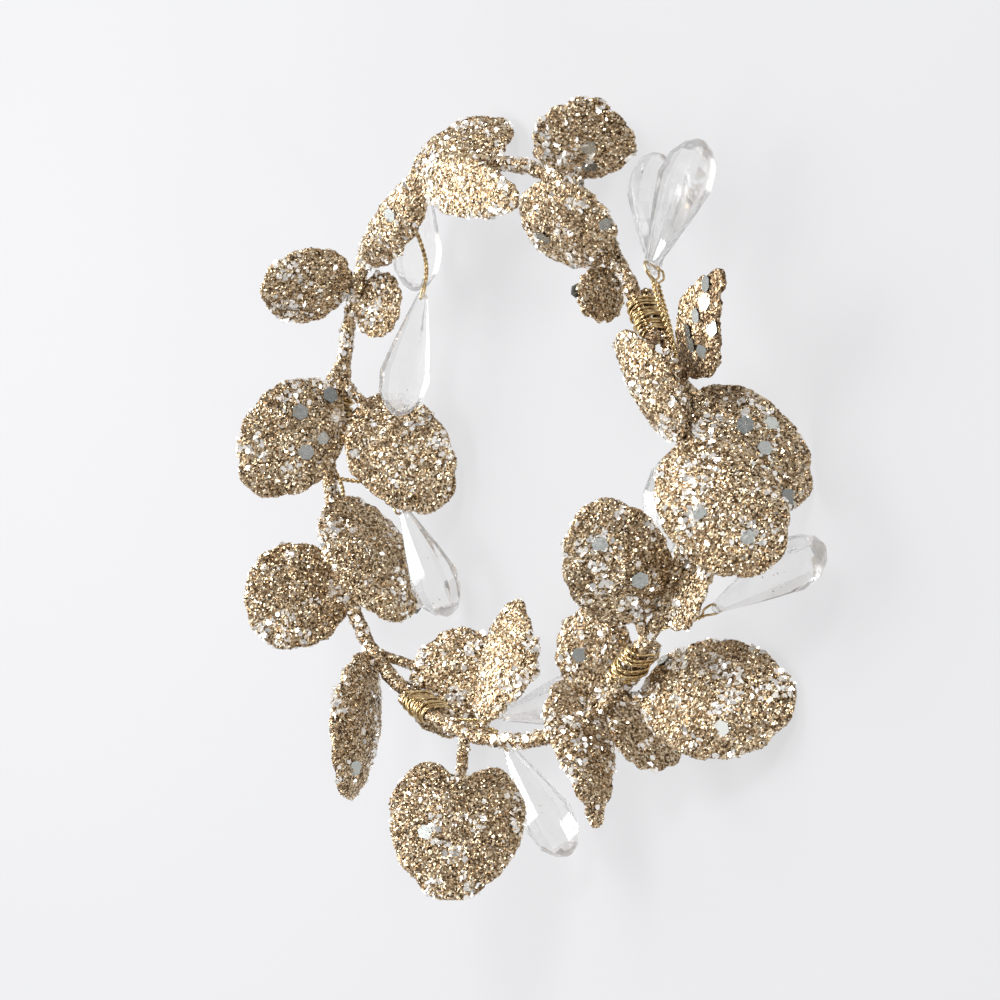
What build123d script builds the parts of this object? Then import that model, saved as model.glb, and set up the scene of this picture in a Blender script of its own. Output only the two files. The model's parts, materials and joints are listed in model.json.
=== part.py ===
from build123d import *
import math
import os
from typing import NamedTuple

# Candle ring: five leaf sprays bound end to end round a candle, with clear drops on twisted wire.
# Millimetres and degrees. The ring lies flat, its axis is Z and the table is at Z = 0.
# A clock angle goes anticlockwise from +X, seen from above.

# The ring
spray_names = ("a", "b", "c", "d", "e")
ring_radius = 48.5
ring_height = 15.4
first_joint = 28.0
# How far each joint lies outside the ring radius, and how far its bundle swings outwards
joint_outset = (-4.0, 0.5, 0.0, 0.0, 0.5)
joint_swing = (-6.0, 10.0, -5.0, -8.0, 5.0)

# Stems: at a joint the new stem lies on top of the old one
stem_diameter = 2.4
stem_gap = 0.1
stem_overlap = 10.0

# Bindings: fine wire wound round the two stems of a joint
binding_wire = 0.5
binding_pitch = 0.96
binding_turns = 7
binding_clearance = 0.1

# Leaves: thin shells on stalks that end on a stem
leaf_thickness = 0.7
leaf_scallop = 0.6
stalk_diameter = 1.8
stalk_hold = 3.0

# Drops: faceted, pierced near the narrow end
drop_length = 22.0
drop_diameter = 9.0
drop_sides = 8
drop_tip_diameter = 1.9
drop_tip_flat = 1.05
drop_tip_length = 1.0
# Facet rings past the hole: shares of the length there and of the diameter
drop_rings = ((0.12, 0.38), (0.40, 0.73), (0.66, 1.0), (0.84, 0.86), (0.95, 0.52), (1.0, 0.16))

# Drop wires: two strands twisted, opened into an eye that goes through the drop
strand_diameter = 0.4
strand_spacing = 0.44
twist_diameter = 0.9
hole_clearance = 0.08
eye_clearance = 0.25
eye_bend = 0.4
eye_neck = 3.0


class Leaf(NamedTuple):
    """A leaf's place on its stem, the way it points, its size and its form."""

    clock: float
    heading: float
    lift: float
    roll: float
    stalk: float
    rise: float
    length: float
    width: float
    outline: str
    form: str


class Drop(NamedTuple):
    """Where a drop's wire is rooted, the place of its hole, the way it points and how its wire runs."""

    root: float
    clock: float
    outset: float
    height: float
    heading: float
    lift: float
    roll: float
    fold: float
    lean: float


# Half outlines from base to tip: shares of the length and of the half width
outlines = {
    "round": ((0.0, 0.16), (0.10, 0.60), (0.27, 0.90), (0.48, 1.0), (0.70, 0.90), (0.88, 0.58), (1.0, 0.16)),
    "pointed": ((0.0, 0.16), (0.14, 0.60), (0.34, 0.95), (0.54, 1.0), (0.73, 0.80), (0.89, 0.45), (1.0, 0.08)),
    "lance": ((0.0, 0.16), (0.12, 0.66), (0.30, 1.0), (0.50, 0.92), (0.70, 0.62), (0.87, 0.28), (1.0, 0.06)),
    "heart": ((0.06, 0.14), (-0.05, 0.55), (0.14, 0.92), (0.40, 1.0), (0.66, 0.86), (0.86, 0.52), (1.0, 0.12)),
}
# Radius across the leaf and radius along it; both the same make a dome
forms = {
    "dome": (20.0, 20.0),
    "shallow": (32.0, 32.0),
    "trough": (11.0, 34.0),
    "arched": (16.0, 36.0),
}

leaves = {
    "a": (
        Leaf(38, 80, 42, -7, 4, 0, 17, 17, "round", "dome"),
        Leaf(62, -12, 20, 56, 4.5, 0, 16, 16, "pointed", "shallow"),
        Leaf(43, -132, 28, -84, 3, 0, 8, 8, "round", "shallow"),
        Leaf(66, 54, 14, -32, 3, 0, 8, 7, "pointed", "shallow"),
        Leaf(76, 36, -50, 26, 4, 0, 14, 13, "round", "shallow"),
    ),
    "b": (
        Leaf(111, -124, 0, 0, 1.5, 2.5, 28, 9.5, "round", "trough"),
        Leaf(143, -114, 6, 30, 3.5, 0, 24.5, 7, "round", "trough"),
        Leaf(124, -82, -38, -13, 4, 0, 20, 15, "round", "shallow"),
        Leaf(147, 6, 78, -15, 1.5, 0, 16, 16, "round", "shallow"),
        Leaf(150, -150, -15, -10, 1.5, 0, 9.5, 11, "round", "shallow"),
        Leaf(161, 93, 33, -60, 6, 3, 23, 17, "round", "dome"),
        Leaf(165, 142, -19, -40, 5.5, 0, 24, 17, "round", "dome"),
    ),
    "c": (
        Leaf(197, 62, 36, -55, 3, 0, 19, 18, "round", "shallow"),
        Leaf(186, 115, -12, -82, 2.5, 0, 25.5, 16, "round", "arched"),
        Leaf(220, 60, 17, -117, 2, 0, 26, 15, "round", "trough"),
        Leaf(222, 116, -31, -22, 8, 0, 17, 19, "round", "shallow"),
    ),
    "d": (
        Leaf(265, 184, -18, -6, 3, 0, 21, 16, "pointed", "trough"),
        Leaf(260, 28, 19, -56, 8, 3.5, 23, 22, "heart", "shallow"),
        Leaf(289, 12, 10, -82, -7, 4.6, 27, 11.5, "lance", "trough"),
        Leaf(306, 54, -25, -10, 5, 0, 26.5, 18.5, "round", "arched"),
        Leaf(302, 6, -49, -89, 2, 0, 13, 14, "round", "shallow"),
        Leaf(299, 138, 8, 30, 3, 0, 15, 13.5, "round", "dome"),
    ),
    "e": (
        Leaf(323, 117, 32, 59, 4, 0, 22, 16.5, "round", "dome"),
        Leaf(357, -44, -14, -34, -2.3, 6.8, 25, 18, "round", "arched"),
        Leaf(14, -65, -26, -56, 3, 0, 24, 15, "round", "shallow"),
        Leaf(359, 114, 19, -13, 4, 0, 19, 12, "round", "trough"),
        Leaf(14, 30, 14, -1, 3, 0, 21, 13, "lance", "arched"),
        Leaf(328, 62, 5, -25, 2.5, 0, 15, 12, "pointed", "arched"),
    ),
}

drops = {
    "a": (
        Drop(17, 35.7, 1.5, 0.8, 39, -16, 90, 40, 0.4),
        Drop(20.5, 37.3, -1.0, -2.2, 73, -16, 90, 16, 0.6),
    ),
    "b": (
        Drop(121, 136, -9.6, -4.1, 120, 5, 45, 0, 0),
        Drop(127, 124.1, 11.3, -8.0, 135, -4, 90, -90, 0),
    ),
    "c": (
        Drop(184, 195.5, -10.2, -6.8, 107, -4, 100, 0, 0),
        Drop(179.5, 191.2, 4.9, -3.8, 51, -8, 60, 0, 0.8),
    ),
    "d": (
        Drop(254, 265.2, 2.0, -5.2, 42, -8, 60, 0, 0),
        Drop(251, 263, -3.9, -5.0, 110, -13, 90, 0, 0),
    ),
    "e": (
        Drop(326, 335.3, 10.2, -2.2, 53, -16, 82, 0, 0.1),
        Drop(322, 330.5, -5.7, -1.8, 115, -12, 120, 0, 0),
    ),
}

# Worked out from the driving dimensions
spray_count = len(spray_names)
joint_step = 360.0 / spray_count
stem_rise = (stem_diameter + stem_gap) / 2
overlap_angle = math.degrees(stem_overlap / ring_radius)
hole_diameter = strand_diameter + 2 * hole_clearance
eye_half_width = drop_tip_diameter / 2 + eye_clearance + strand_diameter / 2
eye_side = drop_tip_length + eye_clearance


def ring_place(clock, radius):
    """A frame on the ring's level whose X axis points outwards."""
    return Location((0, 0, ring_height)) * Rotation(0, 0, clock) * Location((radius, 0, 0))


def pointing(heading, lift, roll):
    """A turn that takes the X axis to a heading, lifts it and rolls about it."""
    return Rotation(0, 0, heading) * Rotation(0, -lift, 0) * Rotation(roll, 0, 0)


def joint_plane(number):
    """The middle of a joint: X runs along the bundle and Z is up."""
    clock = first_joint + joint_step * number
    slot = number % spray_count
    place = ring_place(clock, ring_radius + joint_outset[slot])
    return Plane(place * Rotation(0, 0, 90 - joint_swing[slot]))


def arc_pair(start, start_way, end, end_way):
    """Two arcs that leave the start along one way and reach the end along the other."""
    span = end - start
    ways = start_way + end_way
    spread = 2 * (1 - start_way.dot(end_way))
    along = span.dot(ways)
    root = math.sqrt(along * along + spread * span.dot(span))
    handle = span.dot(span) / (along + root)
    middle = (start + end + (start_way - end_way) * handle) / 2
    middle_way = (end - end_way * handle) - (start + start_way * handle)
    TangentArc(start, middle, tangent=start_way)
    TangentArc(middle, end, tangent=middle_way.normalized())


def make_stem(number):
    """One spray's stem, straight where it lies on its neighbours."""
    head = joint_plane(number)
    tail = joint_plane(number + 1)
    head_ends = [head.from_local_coords((x, 0, stem_rise)) for x in (-stem_overlap / 2, stem_overlap / 2)]
    tail_ends = [tail.from_local_coords((x, 0, -stem_rise)) for x in (-stem_overlap / 2, stem_overlap / 2)]
    with BuildPart() as stem:
        with BuildLine() as centre_line:
            Line(head_ends[0], head_ends[1])
            arc_pair(head_ends[1], head.x_dir, tail_ends[0], tail.x_dir)
            Line(tail_ends[0], tail_ends[1])
        with BuildSketch(Plane(head_ends[0], x_dir=head.z_dir, z_dir=head.x_dir)):
            Circle(stem_diameter / 2)
        sweep()
    stem.part.label = f"spray_{spray_names[number]}_stem"
    export_step(stem.part, f"parts/{stem.part.label}.step")
    return stem.part, centre_line.wires()[0]


def stem_frame(clock):
    """A frame on the stems' centre line at a clock angle, with X outwards."""
    number, past_joint = divmod(clock - first_joint, joint_step)
    share = (past_joint + overlap_angle / 2) / (joint_step + overlap_angle)
    return Location(stem_lines[int(number) % spray_count] @ share) * Rotation(0, 0, clock)


def half_outline(leaf, side):
    """The points of one side of a leaf, from its base to its tip."""
    return [Vector(leaf.length * u, side * leaf.width / 2 * v) for u, v in outlines[leaf.outline]]


def scalloped_side(points, side):
    """Arcs from point to point that bulge out from the leaf."""
    for start, end in zip(points, points[1:]):
        chord = (end - start).normalized()
        out = Vector(-chord.Y, chord.X) * side
        ThreePointArc(start, (start + end) / 2 + out * leaf_scallop, end)


def make_leaf(number, leaf, count, stem):
    """A bent shell with a scalloped edge, on a stalk cut to its stem."""
    root = stem_frame(leaf.clock) * pointing(leaf.heading, leaf.lift, leaf.roll)
    base = root * Location((leaf.stalk, 0, leaf.rise))
    across, along = forms[leaf.form]
    half = leaf.length / 2
    depth = math.sqrt(along**2 - half**2)
    crown = math.sqrt(along**2 - (half - stalk_hold) ** 2) - depth
    hold = (base * Location((stalk_hold, 0, crown - stalk_diameter / 2))).position
    centre = base * Location((half, 0, -depth))
    left = half_outline(leaf, 1)
    right = half_outline(leaf, -1)
    with BuildPart() as blade:
        with BuildSketch(Plane(base)):
            with BuildLine():
                Line(right[0], left[0])
                scalloped_side(left, 1)
                Line(left[-1], right[-1])
                scalloped_side(right, -1)
            make_face()
        extrude(amount=leaf.width / 2, both=True)
        with Locations(centre):
            if across == along:
                Sphere(across + leaf_thickness / 2, mode=Mode.INTERSECT)
                Sphere(across - leaf_thickness / 2, mode=Mode.SUBTRACT)
            else:
                Torus(along - across, across + leaf_thickness / 2, rotation=(90, 0, 0), mode=Mode.INTERSECT)
                Torus(along - across, across - leaf_thickness / 2, rotation=(90, 0, 0), mode=Mode.SUBTRACT)
        with BuildSketch(Plane(root.position, z_dir=hold - root.position)):
            Circle(stalk_diameter / 2)
        extrude(amount=(hold - root.position).length + stalk_diameter / 2)
        add(stem, mode=Mode.SUBTRACT)
    blade.part.label = f"spray_{spray_names[number]}_leaf_{count}"
    export_step(blade.part, f"parts/{blade.part.label}.step")


def binding_stations():
    """One turn round two stacked stems: level place, height and way of each station."""
    reach = stem_diameter / 2 + binding_clearance + binding_wire / 2
    top = stem_rise + reach
    return (
        (reach, -stem_rise, 0, 1),
        (reach, stem_rise, 0, 1),
        (0, top, -1, 0),
        (-reach, stem_rise, 0, -1),
        (-reach, -stem_rise, 0, -1),
        (0, -top, 1, 0),
    )


def make_binding(number):
    """An unbroken wire wound round the stems of a joint, straight at both ends."""
    middle = joint_plane(number)
    turn = binding_stations()
    reach = turn[0][0]
    run = 2 * stem_rise
    quarter = math.pi / 2 * reach
    steps = (run, quarter, quarter, run, quarter, quarter)
    slope = binding_pitch / sum(steps)
    travel = -binding_pitch * binding_turns / 2
    points = []
    ways = []
    for station in range(len(turn) * binding_turns + 2):
        y, z, way_y, way_z = turn[station % len(turn)]
        points.append(middle.from_local_coords(Vector(travel, y, z)))
        way = Vector(slope, way_y, way_z).normalized()
        ways.append(middle.from_local_coords(way) - middle.origin)
        travel += slope * steps[station % len(turn)]
    with BuildPart() as winding:
        with BuildLine() as wire:
            for station in range(len(points) - 1):
                if station % (len(turn) // 2) == 0:
                    Line(points[station], points[station + 1])
                else:
                    arc_pair(points[station], ways[station], points[station + 1], ways[station + 1])
        with BuildSketch(Plane(points[0], z_dir=ways[0])):
            Circle(binding_wire / 2)
        sweep()
    winding.part.label = f"spray_{spray_names[number]}_binding"
    export_step(winding.part, f"parts/{winding.part.label}.step")
    return wire.wires()[0]


def winding_gap(wire):
    """The least space between neighbouring turns, measured on points along the wire."""
    per_turn = 60
    points = [wire @ (i / (per_turn * binding_turns)) for i in range(per_turn * binding_turns + 1)]
    least = math.inf
    for i, point in enumerate(points):
        for other in points[i + per_turn // 2 :]:
            least = min(least, (other - point).length)
    return least - binding_wire


def drop_seat(drop):
    """A frame at a drop's hole: X runs down the drop and Y is the hole's axis."""
    hole = ring_place(drop.clock, ring_radius + drop.outset) * Location((0, 0, drop.height))
    return Plane(hole * pointing(drop.heading, drop.lift, drop.roll))


def drop_sections():
    """Distance from the hole and corner radius of each facet ring of a drop."""
    body = drop_length - drop_tip_length
    tip = [(-drop_tip_length, drop_tip_flat / 2), (-drop_tip_length / 2, drop_tip_diameter / 2)]
    return tip + [(along * body, across * drop_diameter / 2) for along, across in drop_rings]


def make_drop(number, drop, count):
    """A faceted drop, pierced across its narrow end."""
    seat = drop_seat(drop)
    with BuildPart() as body:
        for distance, radius in drop_sections():
            with BuildSketch(Plane(seat.origin + seat.x_dir * distance, x_dir=seat.y_dir, z_dir=seat.x_dir)):
                RegularPolygon(radius, drop_sides)
        loft(ruled=True)
        with BuildSketch(Plane(seat.origin, x_dir=seat.x_dir, z_dir=seat.y_dir)):
            Circle(hole_diameter / 2)
        extrude(amount=drop_diameter, both=True, mode=Mode.SUBTRACT)
    body.part.label = f"spray_{spray_names[number]}_drop_{count}"
    export_step(body.part, f"parts/{body.part.label}.step")
    print(body.part.label, "hinge at", seat.origin, "axis", seat.y_dir, "way", seat.x_dir)


def eye_frame(drop):
    """A frame for the wire's eye at a drop's hole: X along the hole and Y towards the twist."""
    seat = drop_seat(drop)
    fold = math.radians(drop.fold)
    back = seat.z_dir * math.sin(fold) - seat.x_dir * math.cos(fold)
    return Plane(seat.origin, x_dir=seat.y_dir, z_dir=seat.y_dir.cross(back))


def make_drop_wire(number, stems):
    """Two twisted wires from one stem, each opened into an eye."""
    name = spray_names[number]
    strand_offset = strand_spacing / 2
    corners = (
        (-strand_offset, eye_neck + strand_diameter),
        (-strand_offset, eye_neck),
        (-eye_half_width, eye_side),
        (-eye_half_width, 0),
        (eye_half_width, 0),
        (eye_half_width, eye_side),
        (strand_offset, eye_neck),
        (strand_offset, eye_neck + strand_diameter),
    )
    with BuildPart() as wires:
        for drop in drops[name]:
            eye = eye_frame(drop)
            points = [eye.from_local_coords(corner) for corner in corners]
            with BuildLine() as strand:
                FilletPolyline(*points, radius=eye_bend)
            with BuildSketch(Plane(points[0], z_dir=-eye.y_dir)):
                Circle(strand_diameter / 2)
            sweep(path=strand.wires()[0])
            root = stem_frame(drop.root).position
            neck = eye.from_local_coords((0, eye_neck))
            outwards = Vector(1, 0).rotate(Axis.Z, drop.root)
            leaving = ((neck - root).normalized() + outwards * drop.lean).normalized()
            with BuildLine() as twist:
                arc_pair(root, leaving, neck, -eye.y_dir)
            with BuildSketch(Plane(root, z_dir=leaving)):
                Circle(twist_diameter / 2)
            sweep(path=twist.wires()[0])
        for stem in stems:
            add(stem, mode=Mode.SUBTRACT)
    wires.part.label = f"spray_{name}_drop_wire"
    export_step(wires.part, f"parts/{wires.part.label}.step")


os.makedirs("parts", exist_ok=True)
stems = []
stem_lines = []
for number in range(spray_count):
    stem, line = make_stem(number)
    stems.append(stem)
    stem_lines.append(line)

for number, name in enumerate(spray_names):
    for count, leaf in enumerate(leaves[name], 1):
        make_leaf(number, leaf, count, stems[number])
    gap = winding_gap(make_binding(number))
    print(f"spray_{name}_binding least gap between turns {gap:.2f} mm")
    make_drop_wire(number, stems)
    for count, drop in enumerate(drops[name], 1):
        make_drop(number, drop, count)
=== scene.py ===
import json
import math

import bpy
import numpy as np
from mathutils import Matrix, Vector, noise

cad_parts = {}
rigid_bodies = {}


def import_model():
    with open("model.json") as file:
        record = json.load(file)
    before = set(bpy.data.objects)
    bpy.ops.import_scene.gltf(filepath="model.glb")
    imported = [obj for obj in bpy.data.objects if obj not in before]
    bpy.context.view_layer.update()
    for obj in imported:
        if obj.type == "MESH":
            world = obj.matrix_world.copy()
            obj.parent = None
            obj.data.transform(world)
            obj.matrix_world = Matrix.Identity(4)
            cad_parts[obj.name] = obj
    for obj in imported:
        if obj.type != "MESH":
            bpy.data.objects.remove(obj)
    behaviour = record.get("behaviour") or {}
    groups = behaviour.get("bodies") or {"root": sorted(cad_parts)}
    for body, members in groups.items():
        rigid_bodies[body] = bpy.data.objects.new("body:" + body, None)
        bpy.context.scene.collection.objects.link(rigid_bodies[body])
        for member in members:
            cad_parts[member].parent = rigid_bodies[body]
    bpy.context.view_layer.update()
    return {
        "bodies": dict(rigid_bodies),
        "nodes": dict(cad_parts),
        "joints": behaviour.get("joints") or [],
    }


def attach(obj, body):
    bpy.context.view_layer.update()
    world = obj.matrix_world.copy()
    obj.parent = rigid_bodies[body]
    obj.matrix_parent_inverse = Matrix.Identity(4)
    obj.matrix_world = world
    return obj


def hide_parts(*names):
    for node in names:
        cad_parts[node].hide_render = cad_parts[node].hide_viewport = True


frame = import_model()

# Candle ring: glittered leaves on bound stems, with clear drops on twisted gold wire.
# Metres; lengths are written in millimetres times mm.
mm = 0.001
merge_distance = 0.001 * mm
sprays = ("a", "b", "c", "d", "e")
dice = np.random.default_rng(7)

# The view: the camera looks down on the ring from its near side, on a picture of 1000 by 1000
picture_size = 1000
camera_distance = 600 * mm
camera_tilt = math.radians(37.08)
camera_lens = 129.6
camera_sensor = 36.0
view_centre = Vector((0, -8 * mm, 15.4 * mm))
camera_back = Vector((math.cos(camera_tilt), 0, math.sin(camera_tilt)))
camera_up = Vector((0, 1, 0))
camera_right = camera_up.cross(camera_back)
camera_place = view_centre + camera_back * camera_distance

# Glitter: the coat's grain, lumps and warp, loose flakes in clusters whose large flakes are painted white
# as painted sparkle, and large sequins
coat_voxel = 0.30 * mm
coat_grain = 0.34 * mm
coat_depth = 0.26 * mm
lump_size = 2.4 * mm
lump_depth = 0.40 * mm
leaf_warp = 0.7 * mm
leaf_warp_size = 6 * mm
flake_size = 0.40 * mm
flake_depth = 0.12 * mm
flake_lift = 0.05 * mm
flakes_per_area = 2.6 / mm**2
flake_tilt = 0.45
flake_sizes = (0.75, 1.15)
cluster_size = 4.5 * mm
cluster_level = 0.18
large_share = 0.42
stray_share = 0.02
large_scale = 2.7
# Tones past the palest stop: the large flakes' white, less metallic look is painted sparkle
painted_sparkle_tones = (1.2, 2)
sequin_size = 2.9 * mm
sequin_thickness = 0.09 * mm
sequin_lift = 0.16 * mm
sequin_tilt = 0.10
sequin_sizes = (0.85, 1.05)
sequin_taper = 0.96
sequins_unseen = 3
turned_away = -0.3
# The coat's own flakes: how far they turn, their lighter and darker patches, and each coat's tone, the
# shaded leaf's darker tone being painted shade
coat_turn = 0.6
patch_size = 4 * mm
patch_share = 0.5
leaf_darker = 0.06
shade_darker = 0.26
stem_darker = 0.12
# The leaf that shows its underside, its glitter darkened as painted shade, and the palest tone of the
# sequins on it, kept low as painted shade
shaded_leaf = "spray_e_leaf_5"
shaded_sequins = 0.35
# Where the picture shows sequins
sequin_pixels = (
    (610, 208), (606, 224), (543, 238), (588, 147), (590, 166), (748, 537), (700, 512), (745, 425),
    (772, 423), (765, 448), (788, 497), (706, 284), (696, 316), (712, 328), (691, 344), (705, 302),
    (688, 331), (703, 352), (425, 832), (355, 768), (632, 690), (722, 728), (580, 655), (663, 660),
    (300, 412), (322, 438), (306, 452), (430, 286), (390, 215), (600, 545), (640, 580), (330, 395),
)

# Wire: the bindings' turns and the twisted pair that holds each drop
binding_wire = 0.42 * mm
binding_turns = 15
binding_pitch = 0.45 * mm
binding_reach = 1.55 * mm
over_turns = 4
over_pitch = 1.3 * mm
over_reach = 1.85 * mm
corners_per_turn = 16
turn_drift = 0.35 * mm
drift_rates = (2.1, 3.4)
turn_slant = 0.60 * mm
slant_rate = 1.3
turn_swell = 0.08
swell_rate = 3.7
stem_rise = 1.25 * mm
stem_corner = 6
strand_diameter = 0.4 * mm
strand_offset = 0.22 * mm
twist_pitch = 1.7 * mm
points_per_twist = 10
root_end = 0.5 * mm
root_length = 3 * mm
eye_neck = 3.0 * mm
eye_side = 1.25 * mm
eye_half_width = 1.6 * mm
# The eye's corners, from one strand round to the other: shares of its half width and of its side
eye_corners = ((0.9, 1.6), (1, 0.8), (1, 0), (0.6, 0), (-0.6, 0), (-1, 0), (-1, 0.8), (-0.9, 1.6))

# Drops
facet_bevel = 0.12 * mm
flat_angle = math.radians(1.5)
facet_angle = math.radians(8)
smooth_angle = math.radians(12)
specks_per_drop = 7
speck_sizes = (0.4, 0.8)
speck_tones = (0, 0.6)


class Socket:
    """A node's output that Python's operators can do sums with."""

    def __init__(self, nodes, output):
        self.nodes = nodes
        self.output = output

    def sum(self, operation, first, second):
        return self.nodes.add("ShaderNodeMath", {"operation": operation}, {0: first, 1: second})

    def __add__(self, other):
        return self.sum("ADD", self, other)

    def __radd__(self, other):
        return self.sum("ADD", other, self)

    def __sub__(self, other):
        return self.sum("SUBTRACT", self, other)

    def __rsub__(self, other):
        return self.sum("SUBTRACT", other, self)

    def __mul__(self, other):
        return self.sum("MULTIPLY", self, other)

    def __rmul__(self, other):
        return self.sum("MULTIPLY", other, self)


class Nodes:
    """A node tree and the one method that adds a node to it."""

    def __init__(self, tree):
        self.tree = tree

    def add(self, kind, settings=None, inputs=None, output=0):
        node = self.tree.nodes.new(kind)
        for name, value in (settings or {}).items():
            if name == "stops":
                self.set_stops(node.color_ramp.elements, value)
            else:
                setattr(node, name, value)
        for name, value in (inputs or {}).items():
            self.join(value, node.inputs[name])
        return Socket(self, node.outputs[output])

    def set_stops(self, elements, stops):
        while len(elements) < len(stops):
            elements.new(1.0)
        for element, (place, colour) in zip(elements, stops):
            element.position = place
            element.color = (*colour, 1)

    def join(self, value, socket):
        if isinstance(value, Socket):
            self.tree.links.new(value.output, socket)
        else:
            socket.default_value = value


class Finish(Nodes):
    """A material, with the plain values of its shader and what varies over the surface."""

    def __init__(self, name, **plain):
        self.material = bpy.data.materials.new(name)
        self.material.use_nodes = True
        super().__init__(self.material.node_tree)
        self.shader = self.tree.nodes["Principled BSDF"]
        self.feed(**plain)

    def feed(self, **varying):
        for socket, value in varying.items():
            self.join(value, self.shader.inputs[socket.replace("_", " ")])
        return self.material


# Finishes

umber = (0.075, 0.043, 0.019)
bronze = (0.235, 0.147, 0.073)
champagne = (0.500, 0.365, 0.218)
pale_gold = (0.830, 0.705, 0.515)
silver = (0.930, 0.900, 0.850)


def glitter_finish(name, darker):
    """Flakes in every tone of champagne gold, each one turned its own way."""
    finish = Finish(name, Metallic=0.88)
    place = finish.add("ShaderNodeTexCoord", output="Object")
    grains = {"Vector": place, "Scale": 1 / coat_grain}
    cells = finish.add("ShaderNodeTexVoronoi", inputs=grains, output="Color")
    tone = finish.add("ShaderNodeSeparateColor", inputs={"Color": cells}, output=0)
    gloss = finish.add("ShaderNodeSeparateColor", inputs={"Color": cells}, output=1)
    broad = {"Vector": place, "Scale": 1 / patch_size, "Detail": 2.0}
    patches = finish.add("ShaderNodeTexNoise", inputs=broad)
    shade = tone + patches * patch_share - (patch_share / 2 + darker)
    stops = ((0.0, umber), (0.22, bronze), (0.55, champagne), (0.92, pale_gold), (1.0, silver))
    colour = finish.add("ShaderNodeValToRGB", {"stops": stops}, {"Fac": shade})
    centred = finish.add("ShaderNodeVectorMath", {"operation": "SUBTRACT"}, {0: cells, 1: (0.5, 0.5, 0.5)})
    turned = finish.add("ShaderNodeVectorMath", {"operation": "SCALE"}, {0: centred, "Scale": coat_turn})
    facing = finish.add("ShaderNodeNewGeometry", output="Normal")
    mixed = finish.add("ShaderNodeVectorMath", {"operation": "ADD"}, {0: facing, 1: turned})
    normal = finish.add("ShaderNodeVectorMath", {"operation": "NORMALIZE"}, {0: mixed})
    return finish.feed(Base_Color=colour, Roughness=0.12 + gloss * 0.32, Normal=normal)


def flake_finish():
    """Loose flakes and specks: one tone to a flake, and the palest ones more white than metal, a painted
    sparkle that stays bright under any lamp.
    """
    finish = Finish("flake")
    tone = finish.add("ShaderNodeAttribute", {"attribute_name": "tone"}, output="Fac")
    stops = ((0.0, bronze), (0.45, champagne), (0.85, pale_gold), (1.0, silver))
    colour = finish.add("ShaderNodeValToRGB", {"stops": stops}, {"Fac": tone})
    return finish.feed(Base_Color=colour, Roughness=0.12 + tone * 0.09, Metallic=1.3 - tone * 0.4)


def sequin_finish():
    """Grey mirror foil, from dark to pale, rubbed dull in patches."""
    finish = Finish("sequin_foil", Metallic=0.8)
    tone = finish.add("ShaderNodeAttribute", {"attribute_name": "tone"}, output="Fac")
    stops = ((0.0, (0.17, 0.18, 0.18)), (0.5, (0.50, 0.52, 0.49)), (1.0, (0.86, 0.87, 0.82)))
    colour = finish.add("ShaderNodeValToRGB", {"stops": stops}, {"Fac": tone})
    place = finish.add("ShaderNodeTexCoord", output="Object")
    rubs = finish.add("ShaderNodeTexNoise", inputs={"Vector": place, "Scale": 2.2 / mm, "Detail": 3.0})
    return finish.feed(Base_Color=colour, Roughness=0.14 + rubs * 0.20)


def wire_finish():
    """Drawn gold wire, browner and rougher in random patches."""
    finish = Finish("gold_wire", Metallic=1.0)
    place = finish.add("ShaderNodeTexCoord", output="Object")
    stain = finish.add("ShaderNodeTexNoise", inputs={"Vector": place, "Scale": 1.4 / mm, "Detail": 4.0})
    stops = ((0.30, (0.30, 0.20, 0.09)), (0.55, (0.68, 0.51, 0.27)), (0.80, (0.88, 0.74, 0.48)))
    colour = finish.add("ShaderNodeValToRGB", {"stops": stops}, {"Fac": stain})
    return finish.feed(Base_Color=colour, Roughness=0.34 - stain * 0.22)


def acrylic_finish():
    """Clear moulded acrylic with faint handling marks."""
    finish = Finish("clear_acrylic", Transmission_Weight=1.0, IOR=1.45, Alpha=0.72)
    place = finish.add("ShaderNodeTexCoord", output="Object")
    haze = finish.add("ShaderNodeTexNoise", inputs={"Vector": place, "Scale": 0.35 / mm, "Detail": 3.0})
    stops = ((0.35, (0.985, 0.985, 0.980)), (0.70, (0.955, 0.950, 0.935)))
    colour = finish.add("ShaderNodeValToRGB", {"stops": stops}, {"Fac": haze})
    return finish.feed(Base_Color=colour, Roughness=haze * 0.05)


# Handling

def select_only(piece):
    """Makes one piece the only selected and active one."""
    bpy.ops.object.select_all(action="DESELECT")
    piece.select_set(True)
    bpy.context.view_layer.objects.active = piece


def apply_modifier(piece, kind, **settings):
    """Adds a modifier to a piece and applies it."""
    select_only(piece)
    modifier = piece.modifiers.new(kind.lower(), kind)
    for name, value in settings.items():
        setattr(modifier, name, value)
    bpy.ops.object.modifier_apply(modifier=modifier.name)


def copy_node(node, name):
    """A new piece with its own copy of a node's mesh, its triangles joined up."""
    piece = bpy.data.objects.new(name, frame["nodes"][node].data.copy())
    bpy.context.scene.collection.objects.link(piece)
    select_only(piece)
    bpy.ops.mesh.customdata_custom_splitnormals_clear()
    bpy.ops.object.mode_set(mode="EDIT")
    bpy.ops.mesh.select_all(action="SELECT")
    bpy.ops.mesh.remove_doubles(threshold=merge_distance)
    bpy.ops.object.mode_set(mode="OBJECT")
    return piece


def dress(piece, material, slot, body, *nodes):
    """Gives a piece its finish and its body, and hides the nodes that it stands for."""
    piece.data.materials.clear()
    piece.data.materials.append(material)
    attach(piece, body)
    if nodes:
        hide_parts(*nodes)


def node_points(node):
    """The corners of a node's mesh."""
    return np.array([vertex.co for vertex in frame["nodes"][node].data.vertices])


def unit(vector):
    """A vector's direction."""
    return vector / np.linalg.norm(vector)


# Glittered leaves and stems

def clouds(name, size, kind, basis):
    """A noise that displaces a coat."""
    texture = bpy.data.textures.new(name, "CLOUDS")
    texture.noise_scale = size
    texture.cloud_type = kind
    texture.noise_basis = basis
    return texture


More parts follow.
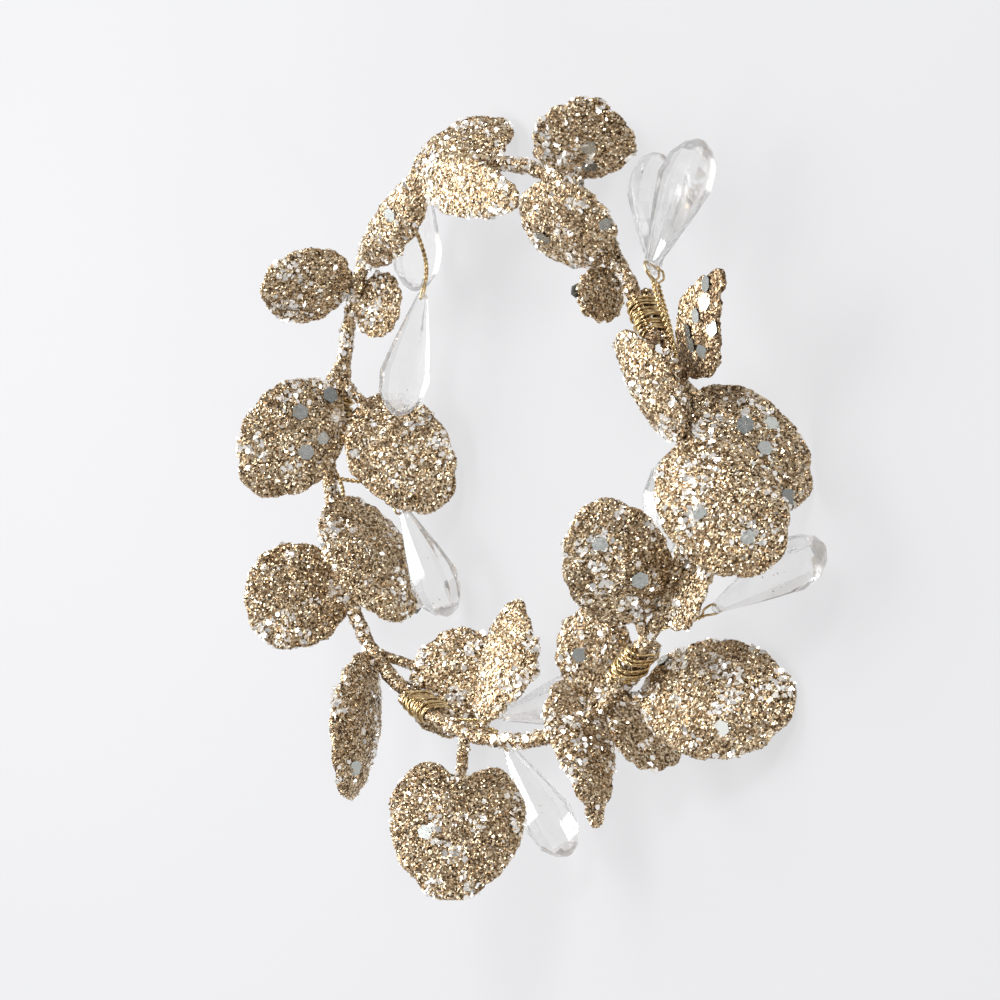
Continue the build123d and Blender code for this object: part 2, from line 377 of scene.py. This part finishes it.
def coat(node):
    """A node's shape under a rough coat of glitter, gently out of true."""
    piece = copy_node(node, f"{node}_coat")
    apply_modifier(piece, "REMESH", mode="VOXEL", voxel_size=coat_voxel)
    for texture, direction, strength in (
        (warp, "RGB_TO_XYZ", leaf_warp),
        (lumps, "NORMAL", lump_depth),
        (grain, "NORMAL", coat_depth),
    ):
        apply_modifier(piece, "DISPLACE", texture=texture, direction=direction, strength=strength)
    select_only(piece)
    bpy.ops.object.shade_flat()
    return piece


def face_arrays(piece):
    """Centres, normals and areas of a piece's faces."""
    faces = piece.data.polygons
    centres = np.empty(3 * len(faces))
    normals = np.empty(3 * len(faces))
    areas = np.empty(len(faces))
    faces.foreach_get("center", centres)
    faces.foreach_get("normal", normals)
    faces.foreach_get("area", areas)
    return centres.reshape(-1, 3), normals.reshape(-1, 3), areas


def hexagon(size, depth, top_share):
    """A six-sided chip with its face up at the origin and its underside below."""
    bpy.ops.object.select_all(action="DESELECT")
    bpy.ops.mesh.primitive_cone_add(vertices=6, radius1=top_share * size / 2, radius2=size / 2, depth=depth)
    chip = bpy.context.object
    corners = np.array([vertex.co for vertex in chip.data.vertices])
    corners[:, 2] -= depth / 2
    sides = [list(face.vertices) for face in chip.data.polygons]
    bpy.data.objects.remove(chip)
    return corners, sides


def strew(name, chip, places, normals, sizes, tones):
    """One piece made of many copies of a chip, each at its place and facing its own way."""
    corners, sides = chip
    count = len(places)
    helper = dice.normal(size=(count, 3))
    across = np.cross(normals, helper)
    across /= np.linalg.norm(across, axis=1, keepdims=True)
    along = np.cross(normals, across)
    frames = np.stack((across, along, normals), axis=2)
    points = np.einsum("nij,vj->nvi", frames, corners) * sizes[:, None, None] + places[:, None, :]
    starts = np.arange(count) * len(corners)
    faces = [[start + corner for corner in side] for start in starts for side in sides]
    mesh = bpy.data.meshes.new(name)
    mesh.from_pydata(points.reshape(-1, 3).tolist(), [], faces)
    mesh.attributes.new("tone", "FLOAT", "FACE").data.foreach_set("value", np.repeat(tones, len(sides)))
    piece = bpy.data.objects.new(name, mesh)
    bpy.context.scene.collection.objects.link(piece)
    return piece


def tilted(normals, spread):
    """Normals that each lean a little their own way."""
    turned = normals + dice.normal(size=normals.shape) * spread
    return turned / np.linalg.norm(turned, axis=1, keepdims=True)


def strew_flakes(name, chip, hosts, density):
    """Loose flakes over the coats of one spray."""
    places = []
    facings = []
    for host in hosts:
        centres, normals, areas = face_arrays(host)
        count = int(areas.sum() * density)
        chosen = dice.choice(len(areas), count, p=areas / areas.sum())
        places.append(centres[chosen])
        facings.append(normals[chosen])
    places = np.concatenate(places)
    facings = np.concatenate(facings)
    sizes = dice.uniform(*flake_sizes, len(places))
    tones = dice.uniform(0, 1, len(places))
    patches = np.array([noise.noise(place / cluster_size) for place in places])
    large = dice.uniform(0, 1, len(places)) < large_share * (patches > cluster_level) + stray_share
    sizes[large] *= large_scale
    # The large flakes take a white, less metallic tone: painted sparkle
    tones[large] = dice.uniform(*painted_sparkle_tones, large.sum())
    facings = tilted(facings, flake_tilt)
    return strew(name, chip, places + facings * flake_lift, facings, sizes, tones)


def seen_place(pixel, hosts):
    """Where the ray through a pixel of the picture first meets a coat, and the way that face looks."""
    half = camera_sensor / camera_lens / 2
    x = (2 * pixel[0] / picture_size - 1) * half
    y = (1 - 2 * pixel[1] / picture_size) * half
    ray = (camera_right * x + camera_up * y - camera_back).normalized()
    hits = [host.ray_cast(camera_place, ray) for host in hosts]
    hits = [hit for hit in hits if hit[0]]
    if not hits:
        return None
    return min(hits, key=lambda hit: (hit[1] - camera_place).length)


def smooth_normal(host, face):
    """The mean normal of a host's faces within a sequin's size of one face."""
    centres, normals, areas = face_arrays(host)
    near = np.linalg.norm(centres - centres[face], axis=1) < sequin_size / 2
    same_side = normals.dot(normals[face]) > 0
    return unit((normals * areas[:, None])[near & same_side].sum(axis=0))


# Wire

def wire_mesh(name, lines, diameter):
    """A closed tube along each line of points."""
    curve = bpy.data.curves.new(name, "CURVE")
    curve.dimensions = "3D"
    curve.bevel_depth = diameter / 2
    curve.bevel_resolution = 2
    curve.use_fill_caps = True
    curve.resolution_u = 3
    for line in lines:
        spline = curve.splines.new("NURBS")
        spline.points.add(len(line) - 1)
        for point, place in zip(spline.points, line):
            point.co = (*place, 1)
        spline.order_u = 3
        spline.use_endpoint_u = True
    piece = bpy.data.objects.new(name, curve)
    bpy.context.scene.collection.objects.link(piece)
    select_only(piece)
    bpy.ops.object.convert(target="MESH")
    piece = bpy.context.object
    bpy.ops.object.shade_smooth()
    return piece


def binding_line(node, turns, pitch, reach):
    """Uneven turns round two stacked stems."""
    points = node_points(node)
    middle = (points.min(axis=0) + points.max(axis=0)) / 2
    spread = np.linalg.eigh(np.cov((points - middle)[:, :2].T))[1][:, 1]
    along = np.array((*spread, 0))
    level = np.cross((0, 0, 1), along)
    line = []
    for step in range(corners_per_turn * turns + 1):
        turn = step / corners_per_turn
        angle = 2 * math.pi * (turn - 0.25)
        drift = math.sin(drift_rates[0] * turn + middle[0] / mm) + math.sin(drift_rates[1] * turn)
        slant = turn_slant * math.sin(slant_rate * turn + middle[1] / mm) * math.cos(angle)
        travel = (turn - turns / 2) * pitch + turn_drift * drift + slant
        radius = reach * (1 + turn_swell * math.sin(swell_rate * turn))
        side = radius * math.cos(angle)
        rise = radius * math.sin(angle) + stem_rise * math.tanh(stem_corner * math.sin(angle))
        line.append(middle + along * travel + level * side + np.array((0, 0, rise)))
    return line


def hermite(start, start_way, end, end_way, share):
    """A point on the smooth line that leaves one end and reaches the other the way it should."""
    a = 2 * share**3 - 3 * share**2 + 1
    b = share**3 - 2 * share**2 + share
    c = share**3 - share**2
    return a * start + b * start_way + (1 - a) * end + c * end_way


def drop_line(points, hole, axis):
    """One wire from the stem to the drop's hole and back, its two halves twisted together."""
    near = points[np.linalg.norm(points - hole, axis=1) < eye_neck]
    back = (near - hole).mean(axis=0)
    back = unit(back - axis * back.dot(axis))
    neck = hole + back * eye_neck
    reach = np.linalg.norm(points - neck, axis=1)
    root = points[reach > reach.max() - root_end].mean(axis=0)
    bundle = points[np.linalg.norm(points - root, axis=1) < root_length].mean(axis=0)
    span = np.linalg.norm(neck - root)
    leaving = unit(bundle - root) * span
    steps = int(span / twist_pitch * points_per_twist)
    centre = [hermite(neck, back * span, root, -leaving, step / steps) for step in range(steps + 1)]
    first = axis
    strands = ([], [])
    for step, place in enumerate(centre):
        ahead = unit(centre[min(step + 1, steps)] - centre[max(step - 1, 0)])
        first = unit(first - ahead * first.dot(ahead))
        second = np.cross(ahead, first)
        angle = 2 * math.pi * step / steps * span / twist_pitch
        offset = strand_offset * (math.cos(angle) * first + math.sin(angle) * second)
        strands[0].append(place + offset)
        strands[1].append(place - offset)
    eye = []
    for side, share in eye_corners:
        eye.append(hole + axis * side * eye_half_width + back * share * eye_side)
    return strands[0][::-1] + eye + strands[1]


def loose_parts(node):
    """The points of each separate solid of a node."""
    piece = copy_node(node, f"{node}_parts")
    bpy.ops.mesh.separate(type="LOOSE")
    parts = []
    for part in list(bpy.context.selected_objects):
        parts.append(np.array([vertex.co for vertex in part.data.vertices]))
        bpy.data.objects.remove(part)
    return parts


# Drops

def make_drop(node):
    """The node's facets with their edges softened as in a mould."""
    piece = copy_node(node, f"{node}_clear")
    bpy.ops.object.mode_set(mode="EDIT")
    bpy.ops.mesh.select_all(action="SELECT")
    bpy.ops.mesh.dissolve_limited(angle_limit=flat_angle)
    bpy.ops.object.mode_set(mode="OBJECT")
    edges = {"limit_method": "ANGLE", "angle_limit": facet_angle}
    apply_modifier(piece, "BEVEL", width=facet_bevel, segments=2, **edges)
    select_only(piece)
    bpy.ops.object.shade_smooth_by_angle(angle=smooth_angle)
    return piece


# The stage

studio_walls = ((0.30, (0.95, 0.95, 0.96)), (0.75, (0.14, 0.14, 0.15)))


def area_light(name, place, size, power):
    """A soft square lamp that points at the ring."""
    bpy.ops.object.light_add(type="AREA", location=place)
    light = bpy.context.object
    light.name = name
    light.data.size = size
    light.data.energy = power
    light.rotation_euler = (view_centre - Vector(place)).to_track_quat("-Z", "Y").to_euler()


def set_stage():
    """The camera, the pale floor, the studio's walls and the lamps."""
    bpy.ops.object.select_all(action="DESELECT")
    turn = Matrix((camera_right, camera_up, camera_back)).transposed().to_4x4()
    bpy.ops.object.camera_add()
    camera = bpy.context.object
    camera.matrix_world = Matrix.Translation(camera_place) @ turn
    camera.data.lens = camera_lens
    camera.data.sensor_width = camera_sensor
    bpy.context.scene.camera = camera

    bpy.ops.mesh.primitive_plane_add(size=6)
    floor = bpy.context.object
    floor.name = "floor"
    finish = Finish("pale_floor", Base_Color=(0.11, 0.11, 0.112, 1), Roughness=0.9, Specular_IOR_Level=0.0,
                    Emission_Color=(0.985, 0.985, 1.0, 1), Emission_Strength=0.655)
    floor.data.materials.append(finish.material)

    world = bpy.context.scene.world or bpy.data.worlds.new("studio")
    bpy.context.scene.world = world
    world.use_nodes = True
    studio = Nodes(world.node_tree)
    way = studio.add("ShaderNodeTexCoord", output="Generated")
    nearness = studio.add("ShaderNodeSeparateXYZ", inputs={0: way}, output="X")
    share = studio.add("ShaderNodeMapRange", inputs={"Value": nearness, "From Min": -1.0})
    walls = studio.add("ShaderNodeValToRGB", {"stops": studio_walls}, {"Fac": share})
    studio.join(walls, studio.tree.nodes["Background"].inputs["Color"])
    area_light("key_light", (0.55, 0.75, 0.95), 0.36, 11)
    area_light("side_light", (0.95, -0.65, 0.45), 0.26, 5)
    area_light("back_light", (-0.75, 0.20, 0.80), 0.6, 6)
    area_light("left_light", (-0.22, 0.04, 0.26), 0.22, 1.0)
    bpy.context.scene.view_settings.view_transform = "Standard"


set_stage()
glitter_leaf = glitter_finish("glitter_leaf", leaf_darker)
# A darker copy of the leaf glitter: painted shade for the shaded leaf
glitter_shade = glitter_finish("glitter_shade", shade_darker)
glitter_stem = glitter_finish("glitter_stem", stem_darker)
flake = flake_finish()
sequin_foil = sequin_finish()
gold_wire = wire_finish()
clear_acrylic = acrylic_finish()

warp = clouds("leaf_warp", leaf_warp_size, "COLOR", "BLENDER_ORIGINAL")
lumps = clouds("coat_lumps", lump_size, "GRAYSCALE", "BLENDER_ORIGINAL")
grain = clouds("coat_grain", coat_grain, "GRAYSCALE", "CELL_NOISE")
flake_chip = hexagon(flake_size, flake_depth, 0.0)
sequin_chip = hexagon(sequin_size, sequin_thickness, sequin_taper)

coats = {spray: [] for spray in sprays}
for node in sorted(frame["nodes"]):
    spray = node.split("_")[1]
    if "_leaf_" in node:
        piece = coat(node)
        coats[spray].append(piece)
        # The shaded leaf takes the darker glitter, as painted shade
        finish = glitter_shade if node == shaded_leaf else glitter_leaf
        dress(piece, finish, "glitter_leaf", "ring", node)
    elif node.endswith("_stem"):
        piece = coat(node)
        coats[spray].append(piece)
        dress(piece, glitter_stem, "glitter_stem", "ring", node)
    elif node.endswith("_binding"):
        lines = [
            binding_line(node, binding_turns, binding_pitch, binding_reach),
            binding_line(node, over_turns, over_pitch, over_reach),
        ]
        piece = wire_mesh(f"{node}_turns", lines, binding_wire)
        dress(piece, gold_wire, "gold_wire", "ring", node)

for spray in sprays:
    # The shaded leaf gets no loose flakes, so that its painted shade stays dark
    hosts = [piece for piece in coats[spray] if not piece.name.startswith(shaded_leaf)]
    piece = strew_flakes(f"spray_{spray}_flakes", flake_chip, hosts, flakes_per_area)
    dress(piece, flake, "glitter_leaf", "ring")

leaf_coats = [piece for pieces in coats.values() for piece in pieces if "_leaf_" in piece.name]
sequin_spots = {spray: [] for spray in sprays}
for pixel in sequin_pixels:
    hit = seen_place(pixel, leaf_coats)
    if hit:
        host = min(leaf_coats, key=lambda leaf: (leaf.closest_point_on_mesh(hit[1])[1] - hit[1]).length)
        # Sequins on the shaded leaf are kept dark as painted shade
        palest = shaded_sequins if host.name.startswith(shaded_leaf) else 1
        spot = (np.array(hit[1]), smooth_normal(host, hit[3]), dice.uniform(0, palest))
        sequin_spots[host.name.split("_")[1]].append(spot)
for spray in sprays:
    hosts = [piece for piece in coats[spray] if piece in leaf_coats]
    for count in range(sequins_unseen):
        host = hosts[count % len(hosts)]
        centres, normals, areas = face_arrays(host)
        hidden = areas * (normals.dot(camera_back) < turned_away)
        face = dice.choice(len(areas), p=hidden / hidden.sum())
        sequin_spots[spray].append((centres[face], smooth_normal(host, face), dice.uniform(0, 1)))
    places, facings, tones = (np.array(column) for column in zip(*sequin_spots[spray]))
    sizes = dice.uniform(*sequin_sizes, len(places))
    places = places + facings * sequin_lift
    piece = strew(f"spray_{spray}_sequins", sequin_chip, places, tilted(facings, sequin_tilt), sizes, tones)
    dress(piece, sequin_foil, "glitter_leaf", "ring")

for spray in sprays:
    node = f"spray_{spray}_drop_wire"
    parts = loose_parts(node)
    lines = []
    for joint in frame["joints"]:
        if not joint["child"].startswith(f"spray_{spray}_"):
            continue
        hole = np.array(joint["pos_m"])
        axis = unit(np.array(joint["axis"]))
        part = min(parts, key=lambda points: np.linalg.norm(points - hole, axis=1).min())
        lines.append(drop_line(part, hole, axis))
    piece = wire_mesh(f"{node}_twist", lines, strand_diameter)
    dress(piece, gold_wire, "gold_wire", "ring", node)

for body in sorted(frame["bodies"]):
    if "_drop_" not in body:
        continue
    piece = make_drop(body)
    dress(piece, clear_acrylic, "clear_drop", body, body)
    centres, normals, areas = face_arrays(piece)
    chosen = dice.choice(len(areas), specks_per_drop, p=areas / areas.sum())
    sizes = dice.uniform(*speck_sizes, specks_per_drop)
    tones = dice.uniform(*speck_tones, specks_per_drop)
    specks = strew(f"{body}_specks", flake_chip, centres[chosen], normals[chosen], sizes, tones)
    dress(specks, flake, "glitter_leaf", body)
